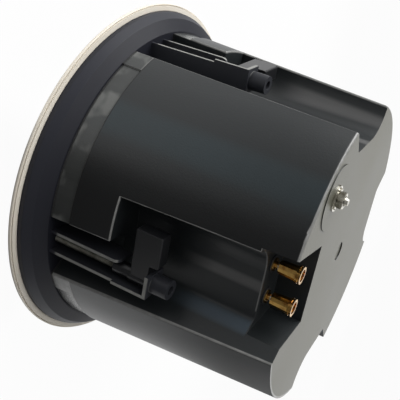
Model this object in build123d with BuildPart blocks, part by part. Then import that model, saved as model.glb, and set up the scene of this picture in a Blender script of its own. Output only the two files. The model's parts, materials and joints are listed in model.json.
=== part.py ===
"""Closed-back in-ceiling speaker with swing-out clamps, in millimetres.

The origin is the centre of the ceiling-contact plane. +Z points up into the ceiling void,
so the grille faces -Z and the rear face of the back box is the highest large face.
Every channel has its own local frame: x runs outwards from the axis, y runs anticlockwise.
"""
from build123d import *
from math import atan2, cos, degrees, hypot, radians, sin, sqrt, tan
import os

os.makedirs("parts", exist_ok=True)

# Fits shared by all pieces
slip = 0.3
bore_slip = 0.15
hidden_slip = 0.1

# Cut-out spigot, which every other radius follows, and the rim in front of it
spigot_radius = 116.5
spigot_land = 3.0
flange_width = 4.5
grille_front = -2.6
grille_sheet = 0.7
grille_fold = 2.0
trim_thickness = 1.4
trim_width = 14.0
trim_skirt_wall = 2.0
rebate_depth = 0.4
tongue_step = 1.0
magnet_count = 8
magnet_radius = 3.5
magnet_height = 2.2
magnet_inset = 4.5
magnet_cover = 1.0

# Chassis ring, clamp seat and woofer tub
ring_fold_step = 3.1
ring_fold_height = 8.0
chassis_wall = 2.5
land_drop = 0.5
fold_drop = 1.5
seat_edge_inset = 1.25
seat_ledge = 10.7
seat_height = 12.9
tub_depth = 24.0
tub_clearance = 0.5
baffle_width = 16.0

# Back box
box_rear = 157.6
box_taper = 8.3
box_wall = 2.5
rear_round = 1.6
edge_round = 0.9
gasket_thickness = 1.0
band_depth = 1.0
band_height = 12.5
band_start = 27.4
box_screw_spread = 19.0
box_screw_bite = 0.8
box_screw_cover = 4.0

# The four clamp channels
channel_half_pitch = 43.0
channel_depth = 21.0
channel_front_depth = 17.8
channel_left = -30.5
channel_front_left = -4.7
channel_right = 19.5
channel_right_draft = 36.0
channel_cove = 20.0
channel_corner = 4.0
step_clearance = 14.3

# Terminal pocket, in the second channel
pocket_drop = 20.2
pocket_depth = 24.5
pocket_half_width = 25.4
pocket_draft = 10.0

# Swing-out clamps on a screw beside the middle of each channel
clamp_inset = 9.8
clamp_y = 12.5
clamp_screw_radius = 2.5
clamp_head_radius = 4.6
clamp_head_height = 3.0
screw_tip_inset = 3.0
rail_wall = 1.8
rail_gap = 5.5
rail_b_rise = 8.0
rail_b_drop = 1.7
rail_b_lead = 3.4
rail_a_rise = 6.4
rail_a_overrun = 6.0
rail_round = 4.0
tower_clearance = 0.6
web_front = 79.7
web_thickness = 2.3
boss_radius = 5.9
boss_length = 10.7
boss_draft = 1.0
hub_length = 24.4
collar_radius = 4.2
collar_length = 11.6
collar_chamfer = 0.8
neck_radius = 4.8
arm_length = 30.5
arm_width = 9.0
arm_height = 17.4
arm_rise = 5.7
arm_clear_radius = 11.4
arm_round = 1.0

# Push terminals
terminal_inset = 16.0
terminal_spacing = 21.0
terminal_offset = -2.0
post_radius = 2.0
post_flange_radius = 4.0
post_flange_height = 1.0
post_tail = 8.0
bush_radius = 5.2
bush_height = 1.0
bush_sleeve_radius = 3.0
cap_stand = 4.6
cap_length = 13.4
cap_narrow_radius = 3.9
cap_wide_radius = 4.5
cap_ring_radius = 5.1
cap_ring_width = 1.1
cap_groove = 0.5
cap_facets = 12
cap_bore_radius = 3.2
cap_cup_radius = 3.6
cap_cup_depth = 1.2
cap_shoulder = 3.2
spring_wire = 0.35
spring_turns = 5
tag_thickness = 0.6
tag_length = 9.0
tag_width = 6.0
nut_thickness = 2.4
nut_across = 6.4

# Safety anchor on the rear face
anchor_angle = -94.0
anchor_inset = 22.0
pad_radius = 19.3
pad_height = 0.5
dimple_radius = 6.2
dimple_depth = 0.8
anchor_radius = 2.5
anchor_reach = 7.0
anchor_nut_across = 9.0
anchor_nut_height = 3.6
anchor_washer_radius = 7.5
anchor_washer_height = 0.8
lock_washer_radius = 6.4
lock_washer_height = 0.6
lock_tooth_size = 0.9
lock_tooth_count = 12
anchor_head_height = 3.2
anchor_tip_chamfer = 0.6

# Woofer
woofer_flange_thickness = 2.5
woofer_flange_clearance = 1.0
woofer_gasket_thickness = 0.8
woofer_screw_count = 8
woofer_screw_inset = 4.75
woofer_screw_reach = 2.0
surround_width = 12.0
surround_sheet = 0.6
surround_lip = 2.0
cone_sheet = 0.7
cone_depth = 22.0
dust_cap_radius = 22.0
dust_cap_height = 6.0
glue_gap = 0.1
coil_radius = 16.0
coil_wall = 0.6
coil_length = 22.0
coil_overlap = 2.0
coil_clearance = 6.0
basket_clearance = 0.5
basket_neck_radius = 46.0
basket_depth = 33.0
basket_sheet = 2.0
basket_windows = 6
window_depth = 14.0
window_width = 25.2
spider_outer = 40.0
spider_sheet = 0.5
spider_ledge = 3.7
spider_seat = 4.0
spider_folds = 9
spider_wave = 1.4
top_plate_radius = 41.0
top_plate_thickness = 6.0
woofer_magnet_radius = 45.0
woofer_magnet_thickness = 16.0
yoke_thickness = 6.0
pole_gap = 1.2

# Tweeter on its bridge
bridge_width = 18.0
bridge_thickness = 3.0
bridge_ring_width = 3.0
bridge_screw_inset = 3.5
bridge_screw_reach = 2.0
bridge_front = 5.0
bridge_foot = 7.0
tweeter_radius = 20.0
tweeter_front = 0.6
tweeter_depth = 15.0
tweeter_wall = 1.8
tweeter_shoulder = 2.0
dome_radius = 12.5
dome_height = 4.0
dome_sheet = 0.5
dome_clearance = 0.8
tweeter_magnet_radius = 14.0
tweeter_magnet_thickness = 6.0
faceplate_thickness = 1.6

# Crossover and damping
board_length = 66.0
board_width = 62.0
board_thickness = 1.6
board_center_x = -14.0
standoff_height = 7.5
standoff_radius = 3.5
board_inset = 5.0
board_corner = 2.5
board_screw_cover = 1.0
board_screw_tip = 2.0
part_gap = 1.0
inductor_radius = 13.0
inductor_core_radius = 6.5
inductor_height = 12.0
capacitor_radius = 6.0
capacitor_length = 24.0
resistor_length = 24.0
resistor_side = 8.0
resistor_offset = 11.0
wadding_front_gap = 8.8
wadding_rear_gap = 12.0

# Screws used in several places
small_screw_radius = 1.5
small_head_radius = 3.0
small_head_height = 2.0
small_screw_length = 12.0
screw_boss_radius = 4.5
head_round_share = 0.45
recess_span_share = 1.1
recess_width_share = 0.25
recess_depth_share = 0.55

# Radii that follow from the spigot
rim_radius = spigot_radius + flange_width
trim_radius = rim_radius - grille_sheet - slip
trim_inner_radius = spigot_radius - trim_width
rebate_radius = spigot_radius + slip
magnet_circle_radius = trim_inner_radius + magnet_inset
ring_fold_radius = spigot_radius - ring_fold_step
box_front_radius = spigot_radius - seat_ledge
box_rear_radius = box_front_radius - box_taper
channel_floor = box_rear_radius - channel_depth
channel_front_floor = box_front_radius - channel_front_depth
clamp_x = box_front_radius - clamp_inset
rail_a_top = clamp_x + rail_a_rise
rail_b_top = clamp_x + rail_b_rise
tower_inside = channel_front_floor + tower_clearance
pocket_floor = channel_floor - pocket_depth
terminal_x = pocket_floor + terminal_inset
anchor_distance = box_rear_radius - anchor_inset
tub_radius = channel_front_floor - box_wall - tub_clearance
woofer_opening = tub_radius - baffle_width
woofer_flange_radius = tub_radius - chassis_wall - woofer_flange_clearance
surround_inner = woofer_opening - surround_width
bridge_half_length = tub_radius + bridge_foot
wadding_radius = channel_floor - box_wall - slip

# Heights that follow from the ceiling plane, the clamps and the rear face
grille_back = grille_front + grille_sheet
trim_front = -trim_thickness
seat_front = seat_height - chassis_wall
box_front = seat_height + gasket_thickness
box_slope = box_taper / (box_rear - seat_height)
box_rear_inside = box_rear - box_wall
tower_rear = web_front + web_thickness
hub_rear = web_front - slip
hub_front = hub_rear - hub_length
arm_rear = hub_rear + arm_rise
arm_front = arm_rear - arm_height
channel_step = arm_front - step_clearance
rail_a_rear = hub_front + rail_a_overrun
screw_tip = tower_rear + boss_length - screw_tip_inset
pocket_front = box_rear - pocket_drop
post_front = pocket_front + bush_height + post_flange_height
cap_start = pocket_front + cap_stand
cap_end = cap_start + cap_length
woofer_baffle_front = tub_depth - chassis_wall
flange_back = woofer_baffle_front - woofer_gasket_thickness
flange_front = flange_back - woofer_flange_thickness
basket_rear = flange_front + basket_depth
cone_rear = flange_front + cone_depth
coil_front = cone_rear - coil_overlap
coil_rear = coil_front + coil_length
top_plate_rear = basket_rear + top_plate_thickness
magnet_rear = top_plate_rear + woofer_magnet_thickness
yoke_rear = magnet_rear + yoke_thickness
board_back = box_rear_inside - standoff_height
board_front = board_back - board_thickness
wadding_front = yoke_rear + wadding_front_gap
wadding_rear = board_front - inductor_height - wadding_rear_gap

# Where the channels and the terminals stand
channel_angles = [
    -90 - channel_half_pitch,
    -90 + channel_half_pitch,
    90 - channel_half_pitch,
    90 + channel_half_pitch,
]
next_channel_angles = channel_angles[1:] + [channel_angles[0] + 360]
terminal_angle = channel_angles[1]
terminal_ys = [terminal_offset - terminal_spacing / 2, terminal_offset + terminal_spacing / 2]


def polar(radius, angle):
    """Point on a circle about the axis."""
    return radius * cos(radians(angle)), radius * sin(radians(angle))


def channel_point(angle, x, y):
    """Point of a channel's local frame in the part's frame."""
    outward, anticlockwise = polar(x, angle), polar(y, angle + 90)
    return outward[0] + anticlockwise[0], outward[1] + anticlockwise[1]


def local_plane(angle, height):
    """Plane across the axis with x outwards at the given angle."""
    return Plane.XY.offset(height).rotated((0, 0, angle))


def side_plane(angle, radius):
    """Plane facing outwards at the given angle and radius, with x anticlockwise and y along +Z."""
    outward = (*polar(1, angle), 0)
    anticlockwise = (*polar(1, angle + 90), 0)
    return Plane(origin=(*polar(radius, angle), 0), x_dir=anticlockwise, z_dir=outward)


def axial_plane(angle):
    """Plane through the axis with x outwards at the given angle and y along +Z."""
    return Plane(origin=(0, 0, 0), x_dir=(*polar(1, angle), 0), z_dir=(*polar(1, angle - 90), 0))


def axial_plane_at(angle, y):
    """Plane along the axis at a place y of a channel's frame, facing clockwise, with x outwards."""
    outward = (*polar(1, angle), 0)
    clockwise = (*polar(1, angle - 90), 0)
    return Plane(origin=(*channel_point(angle, 0, y), 0), x_dir=outward, z_dir=clockwise)


def box_radius(height):
    """Outer radius of the back box at a height."""
    return box_front_radius - (height - seat_height) * box_slope


def on_outer_surface(edge):
    """True for an edge of a channel that lies on the outer cone, between its two ends."""
    middle = edge.position_at(0.5)
    inside_ends = box_front + edge_round < middle.Z < box_rear - 2 * rear_round
    return inside_ends and abs(hypot(middle.X, middle.Y) - box_radius(middle.Z)) < edge_round / 4


def right_wall(x):
    """Anticlockwise edge of a channel at a distance from the axis."""
    return channel_right + (x - channel_floor) * tan(radians(channel_right_draft))


channel_edge_angle = degrees(atan2(channel_left, box_front_radius))


def channel_profile(floor, left, cove, grow):
    """Section of a channel in its local frame, grown by a wall where the inside needs it."""
    with BuildSketch() as profile:
        with BuildLine():
            Polyline(
                (rim_radius, left),
                (floor, left),
                (floor, right_wall(floor)),
                (rim_radius, right_wall(rim_radius)),
                close=True,
            )
        make_face()
        floor_corners = profile.vertices().group_by(Axis.X)[0].sort_by(Axis.Y)
        fillet(floor_corners[0], cove)
        fillet(profile.vertices().group_by(Axis.X)[0].sort_by(Axis.Y)[-1], channel_corner)
        if grow > 0:
            offset(amount=grow)
    return profile.sketch


def pocket_profile(grow):
    """Section of the terminal pocket in its channel's frame."""
    lean = (rim_radius - pocket_floor) * tan(radians(pocket_draft))
    with BuildSketch() as profile:
        with BuildLine():
            Polyline(
                (rim_radius, -pocket_half_width - lean),
                (pocket_floor, -pocket_half_width),
                (pocket_floor, pocket_half_width),
                (rim_radius, pocket_half_width),
                close=True,
            )
        make_face()
        if grow > 0:
            offset(amount=grow)
    return profile.sketch


wide_channel = channel_profile(channel_floor, channel_left, channel_cove, 0)
front_channel = channel_profile(channel_front_floor, channel_front_left, channel_corner, 0)
wide_channel_inside = channel_profile(channel_floor, channel_left, channel_cove, box_wall)
front_channel_inside = channel_profile(channel_front_floor, channel_front_left, channel_corner, box_wall)


def turned(profile):
    """Solid turned about the axis from a closed outline of (radius, height) points."""
    with BuildPart() as piece:
        with BuildSketch(Plane.XZ):
            with BuildLine():
                Polyline(*profile, close=True)
            make_face()
        revolve(axis=Axis.Z)
    return piece


def cross_head_screw(shank_radius, head_radius, head_height, tip):
    """Pan head screw on the local axis: head below zero, shank from zero up to its tip."""
    with BuildPart() as screw:
        with BuildSketch(Plane.XY.offset(-head_height)):
            Circle(head_radius)
        extrude(amount=head_height)
        fillet(screw.edges().group_by(Axis.Z)[0], head_height * head_round_share)
        with BuildSketch():
            Circle(shank_radius)
        extrude(amount=tip)
        with BuildSketch(Plane.XY.offset(-head_height)):
            Rectangle(head_radius * recess_span_share, head_radius * recess_width_share)
            Rectangle(head_radius * recess_width_share, head_radius * recess_span_share)
        extrude(amount=head_height * recess_depth_share, mode=Mode.SUBTRACT)
    return screw.part


def cap_arc(half_width, base, height):
    """Arc of a round cap that bulges towards -Z, from its crown on the axis out to its edge."""
    curve = (half_width**2 + height**2) / (2 * height)
    middle = half_width / 2
    drop = curve - sqrt(curve**2 - middle**2)
    ThreePointArc((0, base - height), (middle, base - height + drop), (half_width, base))


def keep(piece, name):
    """Label a finished piece and write its file."""
    piece.part.label = name
    export_step(piece.part, f"parts/{name}.step")


def screw_set(name, places, head_seat, tip):
    """Group of like small screws, driven from the front, with their heads on the seat height."""
    screw = cross_head_screw(small_screw_radius, small_head_radius, small_head_height, tip - head_seat)
    with BuildPart() as screws:
        for x, y in places:
            with Locations((x, y, head_seat)):
                add(screw)
    keep(screws, name)


def channel_y(angle, edge):
    """Place of an edge's middle along y in a channel's local frame."""
    return local_plane(angle, 0).to_local_coords(edge.center()).Y


# Where the screws of each pattern and the anchor stand
anchor_place = polar(anchor_distance, anchor_angle)
wall_middles = [
    (angle + band_start + next_angle + channel_edge_angle) / 2
    for angle, next_angle in zip(channel_angles, next_channel_angles)
]
box_screw_circle = box_front_radius - box_wall - screw_boss_radius + box_screw_bite
box_screw_places = [
    polar(box_screw_circle, middle + side * box_screw_spread) for middle in wall_middles for side in (-1, 1)
]
magnet_angles = [(i + 0.5) * 360 / magnet_count for i in range(magnet_count)]
woofer_screw_circle = woofer_flange_radius - woofer_screw_inset
woofer_screw_places = [
    polar(woofer_screw_circle, (i + 0.5) * 360 / woofer_screw_count) for i in range(woofer_screw_count)
]
bridge_screw_places = [(side * (bridge_half_length - bridge_screw_inset), 0) for side in (-1, 1)]
board_screw_places = [
    channel_point(
        terminal_angle,
        board_center_x + i * (board_length / 2 - board_inset),
        j * (board_width / 2 - board_inset),
    )
    for i in (-1, 1)
    for j in (-1, 1)
]


# Grille pan
grille = turned([
    (0, grille_front),
    (rim_radius, grille_front),
    (rim_radius, grille_front + grille_fold),
    (rim_radius - grille_sheet, grille_front + grille_fold),
    (rim_radius - grille_sheet, grille_back),
    (0, grille_back),
])
keep(grille, "grille")

# Trim ring with its locating skirt, the rebate that seats the chassis, and magnet pockets
skirt_outer = spigot_radius - chassis_wall - slip
magnet_back = grille_back + slip + magnet_height
trim_inner_back = magnet_back + magnet_cover
trim_skirt_height = spigot_land - land_drop - slip
with BuildPart() as trim_ring:
    with BuildSketch(Plane.XZ):
        with BuildLine():
            Polyline(
                (trim_inner_radius, trim_front),
                (trim_radius, trim_front),
                (trim_radius, 0),
                (rebate_radius, 0),
                (rebate_radius, -rebate_depth),
                (skirt_outer, -rebate_depth),
                (skirt_outer, trim_skirt_height),
                (skirt_outer - trim_skirt_wall, trim_skirt_height),
                (skirt_outer - trim_skirt_wall, trim_inner_back),
                (trim_inner_radius, trim_inner_back),
                close=True,
            )
        make_face()
    revolve(axis=Axis.Z)
    with BuildSketch(Plane.XY.offset(trim_front)):
        for angle in magnet_angles:
            with Locations(polar(magnet_circle_radius, angle)):
                Circle(magnet_radius + hidden_slip)
    extrude(amount=magnet_back - trim_front, mode=Mode.SUBTRACT)
keep(trim_ring, "trim_ring")

with BuildPart() as grille_magnets:
    with BuildSketch(Plane.XY.offset(magnet_back - magnet_height)):
        for angle in magnet_angles:
            with Locations(polar(magnet_circle_radius, angle)):
                Circle(magnet_radius)
    extrude(amount=magnet_height)
keep(grille_magnets, "grille_magnets")

# Chassis: ring, clamp seat, tub, baffle and the four clamp towers
rail_b_near = clamp_y + rail_gap
rail_a_far = clamp_y - rail_gap
rail_b_low = rail_b_top - rail_b_drop
rail_b_jog = hub_front + rail_b_lead
rail_a_shoulder = rail_a_rear - rail_round
rail_a_corner = rail_a_top - rail_round
with BuildPart() as chassis:
    with BuildSketch(Plane.XZ):
        with BuildLine():
            Polyline(
                (spigot_radius - chassis_wall, -rebate_depth),
                (spigot_radius - tongue_step, -rebate_depth),
                (spigot_radius - tongue_step, 0),
                (spigot_radius, 0),
                (spigot_radius, spigot_land),
                (ring_fold_radius, ring_fold_height),
                (box_front_radius, seat_height),
                (tub_radius, seat_height),
                (tub_radius, tub_depth),
                (woofer_opening, tub_depth),
                (woofer_opening, woofer_baffle_front),
                (tub_radius - chassis_wall, woofer_baffle_front),
                (tub_radius - chassis_wall, seat_front),
                (box_front_radius - seat_edge_inset, seat_front),
                (ring_fold_radius - chassis_wall, ring_fold_height - fold_drop),
                (spigot_radius - chassis_wall, spigot_land - land_drop),
                close=True,
            )
        make_face()
    revolve(axis=Axis.Z)
    for angle in channel_angles:
        with BuildSketch(axial_plane_at(angle, rail_b_near + rail_wall)):
            with BuildLine():
                Polyline(
                    (tower_inside, seat_height),
                    (rail_b_low, seat_height),
                    (rail_b_low, rail_b_jog),
                    (rail_b_top, rail_b_jog),
                    (rail_b_top, tower_rear),
                    (tower_inside, tower_rear),
                    close=True,
                )
            make_face()
        extrude(amount=rail_wall)
        with BuildSketch(axial_plane_at(angle, rail_a_far)):
            with BuildLine():
                Polyline(
                    (rail_a_top, rail_a_shoulder),
                    (rail_a_top, seat_height),
                    (tower_inside, seat_height),
                    (tower_inside, rail_a_rear),
                    (rail_a_corner, rail_a_rear),
                )
                RadiusArc((rail_a_corner, rail_a_rear), (rail_a_top, rail_a_shoulder), rail_round)
            make_face()
        extrude(amount=rail_wall)
        with BuildSketch(local_plane(angle, web_front)):
            with Locations(((tower_inside + rail_b_top) / 2, clamp_y)):
                Rectangle(rail_b_top - tower_inside, 2 * rail_gap + rail_wall)
        extrude(amount=web_thickness)
        with BuildSketch(local_plane(angle, tower_rear)):
            with Locations((clamp_x, clamp_y)):
                Circle(boss_radius)
        extrude(amount=boss_length, taper=boss_draft)
        with BuildSketch(local_plane(angle, seat_front)):
            with Locations((clamp_x, clamp_y)):
                Circle(clamp_screw_radius + bore_slip)
        extrude(amount=tower_rear + boss_length, mode=Mode.SUBTRACT)
    with BuildSketch(Plane.XY.offset(seat_front)):
        with Locations(*box_screw_places):
            Circle(small_screw_radius + hidden_slip)
        with Locations(*bridge_screw_places):
            Circle(small_screw_radius + hidden_slip)
    extrude(amount=chassis_wall, mode=Mode.SUBTRACT)
    with BuildSketch(Plane.XY.offset(woofer_baffle_front)):
        with Locations(*woofer_screw_places):
            Circle(small_screw_radius + hidden_slip)
    extrude(amount=chassis_wall, mode=Mode.SUBTRACT)
keep(chassis, "chassis")
screw_set("back_box_screws", box_screw_places, seat_front, seat_front + small_screw_length)

# Clamp screws and dog legs
for number, angle in enumerate(channel_angles, start=1):
    screw = cross_head_screw(
        clamp_screw_radius, clamp_head_radius, clamp_head_height, screw_tip - seat_front
    )
    with BuildPart() as clamp_screw:
        with Locations((*channel_point(angle, clamp_x, clamp_y), seat_front)):
            add(screw)
    keep(clamp_screw, f"clamp_screw_{number}")

    with BuildPart() as dog_leg:
        arm_tip = clamp_y - arm_length
        arm_step = clamp_y - arm_clear_radius
        with BuildSketch(side_plane(angle, clamp_x - arm_width / 2)):
            with BuildLine():
                Polyline(
                    (clamp_y, arm_front),
                    (arm_tip, arm_front),
                    (arm_tip, arm_rear),
                    (arm_step, arm_rear),
                    (arm_step, hub_rear),
                    (clamp_y, hub_rear),
                    close=True,
                )
            make_face()
        extrude(amount=arm_width)
        level_edges = dog_leg.edges().filter_by(Axis.Z, reverse=True)
        fillet(level_edges.filter_by(lambda edge: channel_y(angle, edge) < arm_step + arm_round), arm_round)
        with BuildSketch(local_plane(angle, hub_front)):
            with Locations((clamp_x, clamp_y)):
                Circle(collar_radius)
        extrude(amount=collar_length)
        chamfer(dog_leg.edges().group_by(Axis.Z)[0], collar_chamfer)
        with BuildSketch(local_plane(angle, hub_front + collar_length)):
            with Locations((clamp_x, clamp_y)):
                Circle(neck_radius)
        extrude(amount=hub_length - collar_length)
        with BuildSketch(local_plane(angle, hub_front)):
            with Locations((clamp_x, clamp_y)):
                Circle(clamp_screw_radius + bore_slip)
        extrude(amount=hub_length, mode=Mode.SUBTRACT)
    keep(dog_leg, f"dog_leg_{number}")

# Back box: outer form, then the cavity, then what is moulded on the inside
with BuildPart() as box_cavity:
    with BuildSketch(Plane.XZ):
        with BuildLine():
            Polyline(
                (0, box_front),
                (box_radius(box_front) - box_wall, box_front),
                (box_radius(box_rear_inside) - box_wall, box_rear_inside),
                (0, box_rear_inside),
                close=True,
            )
        make_face()
    revolve(axis=Axis.Z)
    for angle in channel_angles:
        with BuildSketch(local_plane(angle, box_front)):
            add(front_channel_inside)
        extrude(amount=channel_step - box_front, mode=Mode.SUBTRACT)
        with BuildSketch(local_plane(angle, channel_step - box_wall)):
            add(wide_channel_inside)
        extrude(amount=box_rear - channel_step, mode=Mode.SUBTRACT)
    with BuildSketch(local_plane(terminal_angle, pocket_front - box_wall)):
        add(pocket_profile(box_wall))
    extrude(amount=box_rear - pocket_front, mode=Mode.SUBTRACT)


with BuildPart() as back_box:
    with BuildSketch(Plane.XZ):
        with BuildLine():
            Polyline(
                (0, box_front),
                (box_radius(box_front), box_front),
                (box_rear_radius, box_rear),
                (0, box_rear),
                close=True,
            )
        make_face()
    revolve(axis=Axis.Z)
    for angle in channel_angles:
        with BuildSketch(local_plane(angle, box_front)):
            add(front_channel)
        extrude(amount=channel_step - box_front, mode=Mode.SUBTRACT)
        with BuildSketch(local_plane(angle, channel_step)):
            add(wide_channel)
        extrude(amount=box_rear - channel_step, mode=Mode.SUBTRACT)
    fillet(back_box.edges().filter_by(on_outer_surface), edge_round)
    with BuildSketch(Plane.XZ):
        rim_start = box_rear - rear_round
        with BuildLine():
            TangentArc(
                (box_rear_radius - rear_round, box_rear),
                (box_radius(rim_start), rim_start),
                tangent=(1, 0),
            )
            Polyline(
                (box_rear_radius - rear_round, box_rear),
                (rim_radius, box_rear),
                (rim_radius, rim_start),
                (box_radius(rim_start), rim_start),
            )
        make_face()
    revolve(axis=Axis.Z, mode=Mode.SUBTRACT)
    with BuildSketch(local_plane(terminal_angle, pocket_front)):
        add(pocket_profile(0))
    extrude(amount=box_rear - pocket_front, mode=Mode.SUBTRACT)
    for angle, next_angle in zip(channel_angles, next_channel_angles):
        with BuildSketch(axial_plane(angle + band_start)):
            with BuildLine():
                Polyline(
                    (box_radius(box_front) - band_depth, box_front),
                    (rim_radius, box_front),
                    (rim_radius, box_front + band_height),
                    (box_radius(box_front + band_height) - band_depth, box_front + band_height),
                    close=True,
                )
            make_face()
        revolve(axis=Axis.Z, revolution_arc=next_angle - angle - band_start, mode=Mode.SUBTRACT)
    add(box_cavity.part, mode=Mode.SUBTRACT)
    with BuildSketch(Plane.XY.offset(box_rear)):
        with Locations(anchor_place):
            Circle(pad_radius)
    extrude(amount=pad_height)
    with BuildSketch(Plane.XY.offset(box_rear - dimple_depth)):
        Circle(dimple_radius)
    extrude(amount=dimple_depth, mode=Mode.SUBTRACT)
    with BuildSketch(Plane.XY.offset(box_rear_inside - standoff_height)):
        with Locations(*board_screw_places):
            Circle(standoff_radius)
    extrude(amount=standoff_height)
    with BuildSketch(Plane.XY.offset(box_rear_inside - standoff_height)):
        with Locations(*board_screw_places):
            Circle(small_screw_radius + hidden_slip)
    extrude(amount=standoff_height - board_screw_cover, mode=Mode.SUBTRACT)
    with BuildSketch(Plane.XY.offset(box_front)):
        with Locations(*box_screw_places):
            Circle(screw_boss_radius)
    extrude(amount=small_screw_length + box_screw_cover)
    with BuildSketch(Plane.XY.offset(box_front)):
        with Locations(*box_screw_places):
            Circle(small_screw_radius + hidden_slip)
    extrude(amount=small_screw_length, mode=Mode.SUBTRACT)
    with BuildSketch(local_plane(terminal_angle, pocket_front - box_wall)):
        for y in terminal_ys:
            with Locations((terminal_x, y)):
                Circle(bush_sleeve_radius + hidden_slip)
    extrude(amount=box_wall, mode=Mode.SUBTRACT)
    with BuildSketch(Plane.XY.offset(box_rear_inside)):
        with Locations(anchor_place):
            Circle(anchor_radius + hidden_slip)
    extrude(amount=box_wall + pad_height, mode=Mode.SUBTRACT)
keep(back_box, "back_box")

# Gasket with the outline of the back box's front face
with BuildPart() as back_box_gasket:
    extrude(back_box.faces().sort_by(Axis.Z)[0], amount=gasket_thickness)
keep(back_box_gasket, "back_box_gasket")

# Push terminals in their pocket
inner_wall = pocket_front - box_wall
cup_floor = cap_end - cap_cup_depth
cap_shelf = cup_floor - cap_shoulder
ring_start = cap_end - 2 * cap_ring_width - cap_groove
with BuildPart() as cap_form:
    with BuildSketch(Plane.XY.offset(cap_start)):
        RegularPolygon(cap_narrow_radius, cap_facets)
    with BuildSketch(Plane.XY.offset(ring_start)):
        RegularPolygon(cap_wide_radius, cap_facets)
    loft()
    with BuildSketch(Plane.XZ):
        with BuildLine():
            Polyline(
                (0, ring_start),
                (cap_ring_radius, ring_start),
                (cap_ring_radius, ring_start + cap_ring_width),
                (cap_wide_radius, ring_start + cap_ring_width),
                (cap_wide_radius, cap_end - cap_ring_width),
                (cap_ring_radius, cap_end - cap_ring_width),
                (cap_ring_radius, cap_end),
                (0, cap_end),
                close=True,
            )
        make_face()
    revolve(axis=Axis.Z)
    with BuildSketch(Plane.XZ):
        with BuildLine():
            Polyline(
                (0, cap_start),
                (cap_bore_radius, cap_start),
                (cap_bore_radius, cap_shelf),
                (post_radius + slip, cap_shelf),
                (post_radius + slip, cup_floor),
                (cap_cup_radius, cup_floor),
                (cap_cup_radius, cap_end),
                (0, cap_end),
                close=True,
            )
        make_face()
    revolve(axis=Axis.Z, mode=Mode.SUBTRACT)
post_form = turned([
    (0, inner_wall - post_tail),
    (post_radius, inner_wall - post_tail),
    (post_radius, post_front - post_flange_height),
    (post_flange_radius, post_front - post_flange_height),
    (post_flange_radius, post_front),
    (post_radius, post_front),
    (post_radius, cup_floor),
    (0, cup_floor),
])
bush_form = turned([
    (post_radius + hidden_slip, inner_wall),
    (bush_sleeve_radius, inner_wall),
    (bush_sleeve_radius, pocket_front),
    (bush_radius, pocket_front),
    (bush_radius, pocket_front + bush_height),
    (post_radius + hidden_slip, pocket_front + bush_height),
])
terminal_places = [channel_point(terminal_angle, terminal_x, y) for y in terminal_ys]
spring_radius = post_radius + bore_slip + spring_wire
spring_height = cap_shelf - post_front - 2 * spring_wire
for number, (x, y) in enumerate(terminal_places, start=1):
    with BuildPart() as terminal_cap:
        with Locations((x, y, 0)):
            add(cap_form.part)
    keep(terminal_cap, f"terminal_cap_{number}")
    with BuildPart() as terminal_post:
        with Locations((x, y, 0)):
            add(post_form.part)
    keep(terminal_post, f"terminal_post_{number}")
    with BuildPart() as terminal_spring:
        with BuildLine() as coil:
            Helix(
                pitch=spring_height / spring_turns,
                height=spring_height,
                radius=spring_radius,
                center=(x, y, post_front + spring_wire),
            )
        with BuildSketch(Plane(origin=coil.line @ 0, z_dir=coil.line % 0)):
            RegularPolygon(spring_wire, 6)
        sweep(path=coil.line, is_frenet=True)
    keep(terminal_spring, f"terminal_spring_{number}")
with BuildPart() as terminal_bushes:
    for x, y in terminal_places:
        with Locations((x, y, 0)):
            add(bush_form.part)
keep(terminal_bushes, "terminal_bushes")
with BuildPart() as solder_tags:
    with BuildSketch(local_plane(terminal_angle, inner_wall - tag_thickness)):
        for y in terminal_ys:
            with Locations((terminal_x - tag_length / 2, y)):
                SlotOverall(tag_length + tag_width, tag_width)
            with Locations((terminal_x, y)):
                Circle(post_radius + hidden_slip, mode=Mode.SUBTRACT)
    extrude(amount=tag_thickness)
keep(solder_tags, "solder_tags")
with BuildPart() as terminal_nuts:
    with BuildSketch(local_plane(terminal_angle, inner_wall - tag_thickness - nut_thickness)):
        for y in terminal_ys:
            with Locations((terminal_x, y)):
                RegularPolygon(nut_across / 2, 6, major_radius=False)
                Circle(post_radius + hidden_slip, mode=Mode.SUBTRACT)
    extrude(amount=nut_thickness)
keep(terminal_nuts, "terminal_nuts")

# Safety anchor
pad_top = box_rear + pad_height
washer_top = pad_top + anchor_washer_height
lock_washer_top = washer_top + lock_washer_height
with BuildPart() as anchor_bolt:
    with BuildSketch(Plane.XY.offset(box_rear_inside - anchor_head_height)):
        with Locations(anchor_place):
            RegularPolygon(anchor_nut_across / 2, 6, major_radius=False)
    extrude(amount=anchor_head_height)
    with BuildSketch(Plane.XY.offset(box_rear_inside)):
        with Locations(anchor_place):
            Circle(anchor_radius)
    extrude(amount=box_wall + pad_height + anchor_reach)
    chamfer(anchor_bolt.edges().group_by(Axis.Z)[-1], anchor_tip_chamfer)
keep(anchor_bolt, "anchor_bolt")
with BuildPart() as anchor_washer:
    with BuildSketch(Plane.XY.offset(pad_top)):
        with Locations(anchor_place):
            Circle(anchor_washer_radius)
            Circle(anchor_radius + hidden_slip, mode=Mode.SUBTRACT)
    extrude(amount=anchor_washer_height)
keep(anchor_washer, "anchor_washer")
with BuildPart() as anchor_lock_washer:
    with BuildSketch(Plane.XY.offset(washer_top)):
        with Locations(anchor_place):
            Circle(lock_washer_radius - lock_tooth_size)
            with PolarLocations(lock_washer_radius - lock_tooth_size, lock_tooth_count):
                Rectangle(2 * lock_tooth_size, lock_tooth_size)
            Circle(anchor_radius + hidden_slip, mode=Mode.SUBTRACT)
    extrude(amount=lock_washer_height)
keep(anchor_lock_washer, "anchor_lock_washer")
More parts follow.
